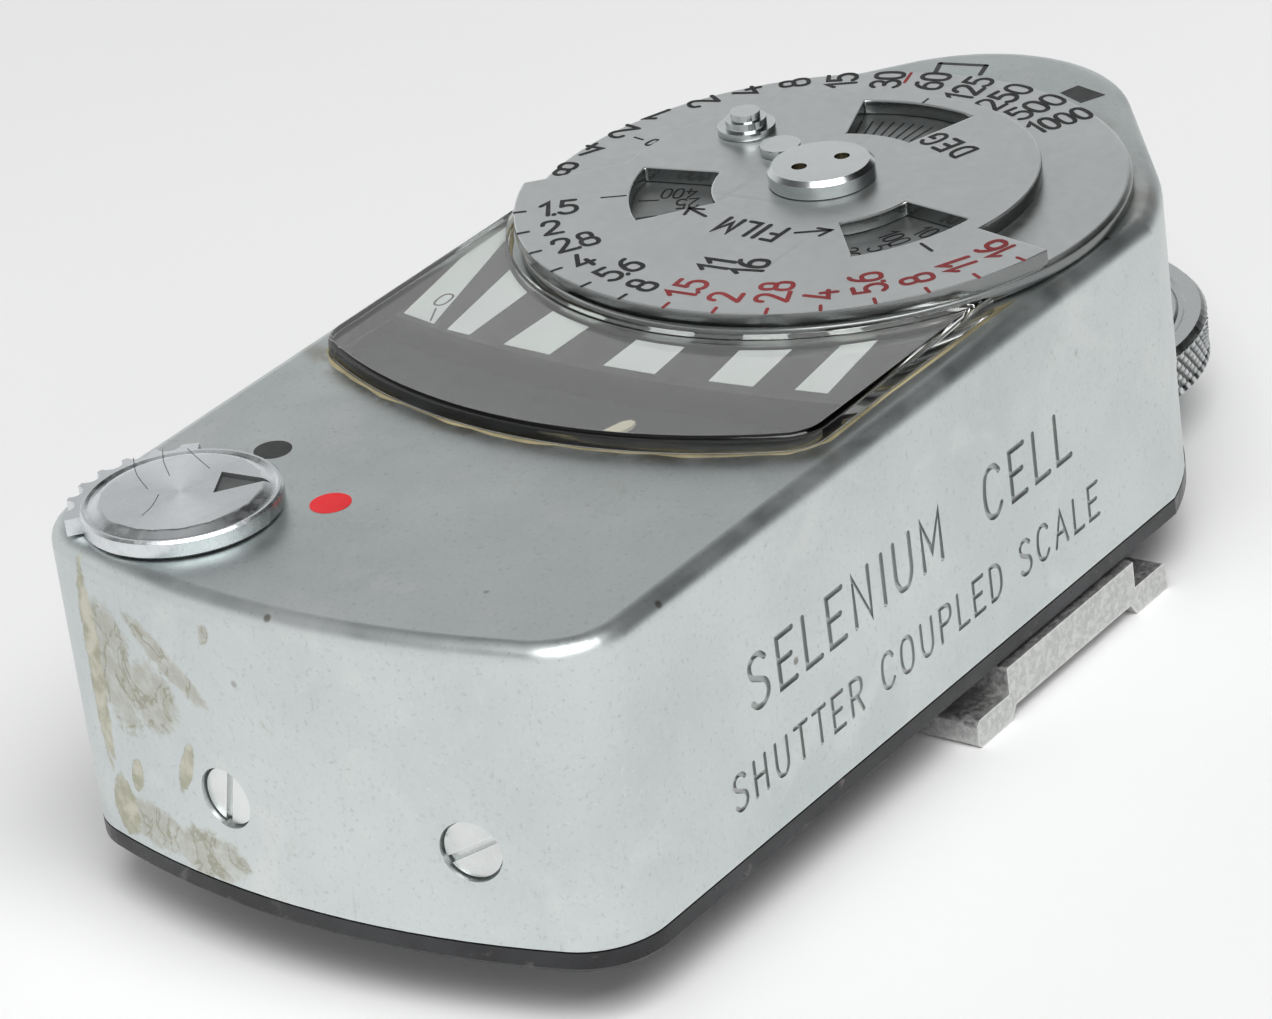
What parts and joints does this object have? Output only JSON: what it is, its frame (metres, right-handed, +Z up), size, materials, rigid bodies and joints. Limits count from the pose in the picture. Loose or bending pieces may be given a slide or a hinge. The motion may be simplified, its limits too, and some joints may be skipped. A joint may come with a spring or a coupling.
{
  "type": "exposure meter",
  "caption": "Shoe-mounted selenium exposure meter with a needle window, stacked turning dials, a range knob and a geared wheel that couples to a camera dial.",
  "frame": {"origin": "centre of the underside of the shoe foot across its width, on the front-to-back centre line of the housing", "axes": "+X toward the dial end, +Y toward the light cell, +Z up out of the shoe"},
  "size_m": [0.0749, 0.0342, 0.0235],
  "materials": {
    "cover": "satin chrome plating over brass",
    "black_base": "black lacquered plate",
    "foot": "bead-blasted light alloy",
    "chrome": "bright plated",
    "satin": "satin plated",
    "clear": "clear moulded acrylic",
    "dark": "matt dark grey",
    "brass": "plain turned brass",
    "steel": "plain steel",
    "cream": "cream enamel",
    "copper": "enamelled winding wire",
    "magnet": "plain magnet alloy",
    "selenium": "dark selenium layer",
    "phenolic": "brown laminate",
    "ruby": "polished",
    "black_plastic": "black moulding",
    "wire": "insulated lead"
  },
  "bodies": {
    "housing": {"housing_cover": "cover", "base_plate": "black_base", "shoe_foot": "foot", "foot_screws": "steel", "end_screws": "chrome", "end_block": "brass", "meter_window": "clear", "scale_plate": "dark", "cell_window": "clear", "cell_frame": "black_plastic", "selenium_cell": "selenium", "cell_contacts": "brass", "movement_base": "brass", "movement_posts": "brass", "movement_bridge": "brass", "upper_jewel": "ruby", "lower_jewel": "ruby", "yoke_ring": "steel", "core_magnet": "magnet", "core_carrier": "brass", "hairspring_lower": "brass", "hairspring_upper": "brass", "needle_stops": "steel", "range_bush": "brass", "contact_plate": "phenolic", "range_resistor": "phenolic", "dial_bush": "brass", "gear_bridge": "brass", "wheel_bush": "brass", "bridge_pillars": "brass", "bridge_screws": "steel", "bay_wall": "dark", "cell_leads": "wire"},
    "speed_dial": {"speed_disc": "satin", "dial_spindle": "brass", "centre_nut": "chrome", "friction_washer": "brass", "dial_gear": "brass", "spindle_clip": "steel"},
    "film_dial": {"aperture_disc": "satin", "lock_spring": "steel", "spring_rivet": "chrome"},
    "lock": {"lock_button": "chrome"},
    "coupler": {"coupling_wheel": "chrome", "pin_cap": "brass", "pin_spring": "steel", "pinion": "brass", "pinion_clip": "steel"},
    "pin": {"coupling_pin": "steel"},
    "range_switch": {"range_knob": "chrome", "range_shaft": "steel", "range_wiper": "brass"},
    "needle_system": {"needle": "cream", "moving_coil": "copper", "pivot_staff": "steel"},
    "zero_adjuster": {"zero_screw": "brass"},
    "regulator": {"regulator_arm": "brass"}
  },
  "joints": [
    {"name": "speed_dial_turn", "type": "hinge", "parent": "housing", "child": "speed_dial", "pos_m": [0.0063, 0, 0.0207], "axis": [0, 0, 1], "range_deg": [-110, 3]},
    {"name": "coupler_turn", "type": "hinge", "parent": "housing", "child": "coupler", "pos_m": [0.0225, 0, 0.0054], "axis": [0, 0, 1], "range_deg": [-10, 331]},
    {"name": "coupling_pin_slide", "type": "slide", "parent": "coupler", "child": "pin", "axis": [0, 0, 1], "range_m": [0, 0.0007], "stiffness_N_per_m": 150, "springref_m": -0.002, "deforming": ["pin_spring"]},
    {"name": "film_speed_set", "type": "hinge", "parent": "speed_dial", "child": "film_dial", "pos_m": [0.0063, 0, 0.0215], "axis": [0, 0, 1], "range_deg": [-34, 34]},
    {"name": "lock_button_lift", "type": "slide", "parent": "film_dial", "child": "lock", "axis": [0, 0, 1], "range_m": [0, 0.00022], "stiffness_N_per_m": 500, "springref_m": -0.001, "deforming": ["lock_spring"]},
    {"name": "range_knob_turn", "type": "hinge", "parent": "housing", "child": "range_switch", "pos_m": [-0.0349, 0.01, 0.0206], "axis": [0, 0, 1], "range_deg": [0, 54]},
    {"name": "needle_swing", "type": "hinge", "parent": "housing", "child": "needle_system", "pos_m": [-0.0314, 0, 0.0188], "axis": [0, 0, 1], "range_deg": [-16, 45]},
    {"name": "zero_adjust", "type": "hinge", "parent": "housing", "child": "zero_adjuster", "pos_m": [-0.0269, 0, 0.004], "axis": [0, 0, 1], "range_deg": [-20, 20]},
    {"name": "regulator_swing", "type": "hinge", "parent": "housing", "child": "regulator", "pos_m": [-0.0314, 0, 0.0064], "axis": [0, 0, 1], "range_deg": [-2.4, 2.4]}
  ],
  "couplings": [
    {"joint": "coupler_turn", "follows": "speed_dial_turn", "ratio": -3},
    {"joint": "regulator_swing", "follows": "zero_adjust", "ratio": 0.1176}
  ]
}
